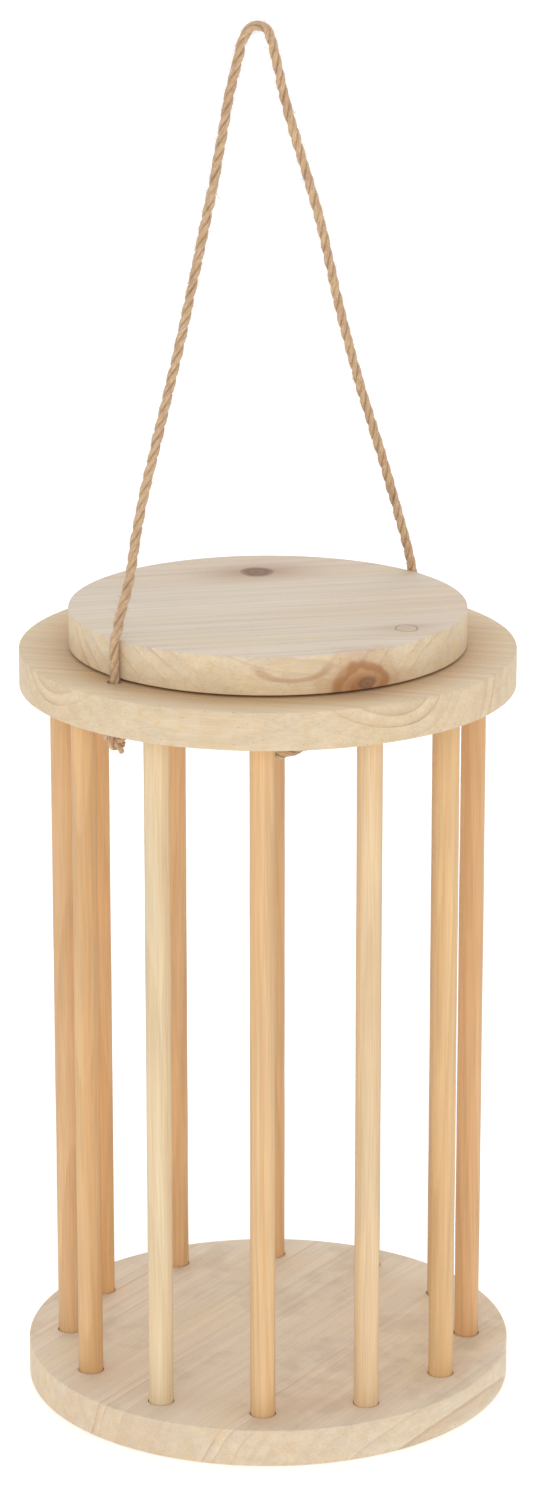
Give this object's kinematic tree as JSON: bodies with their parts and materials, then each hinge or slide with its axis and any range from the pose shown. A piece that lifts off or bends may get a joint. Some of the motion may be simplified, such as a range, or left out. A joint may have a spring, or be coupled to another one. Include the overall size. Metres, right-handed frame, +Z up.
{
  "type": "hanging lantern",
  "caption": "Round wooden hanging lantern: a base board and a top ring joined by upright dowels, with a lift-off round lid and a jute rope loop to hang it by.",
  "frame": {"origin": "centre of the base board's underside", "axes": "+Z up along the lantern's axis, the front faces -Y, +X to the right seen from the front"},
  "size_m": [0.2, 0.2, 0.5642],
  "materials": {
    "pine_board": "bare sanded solid pine with open straight grain and a few knots",
    "pine_lid": "bare sanded solid pine, slightly paler and greyer than the boards",
    "dowel_wood": "bare sanded round rods, each a little different in tint",
    "jute": "twisted three-strand jute with loose fibres"
  },
  "bodies": {
    "cage": {"base_plate": "pine_board", "top_ring": "pine_board", "dowel_01": "dowel_wood", "dowel_02": "dowel_wood", "dowel_03": "dowel_wood", "dowel_04": "dowel_wood", "dowel_05": "dowel_wood", "dowel_06": "dowel_wood", "dowel_07": "dowel_wood", "dowel_08": "dowel_wood", "dowel_09": "dowel_wood", "dowel_10": "dowel_wood", "dowel_11": "dowel_wood", "dowel_12": "dowel_wood", "rope_end_front": "jute", "rope_end_back": "jute", "rope_knot_front": "jute", "rope_knot_back": "jute", "rope_tail_back": "jute"},
    "lid": {"lid": "pine_lid", "lid_plug": "pine_lid"},
    "rope_loop": {"hanging_rope": "jute"}
  },
  "joints": [
    {"name": "lid_lift", "type": "slide", "parent": "cage", "child": "lid", "axis": [0, 0, 1], "range_m": [0, 0.265], "deforming": ["hanging_rope"]},
    {"name": "rope_swing", "type": "hinge", "parent": "cage", "child": "rope_loop", "pos_m": [0, 0, 0.3163], "axis": [0.7254, 0.6884, 0], "range_deg": [-90, 90], "deforming": ["hanging_rope"]}
  ]
}
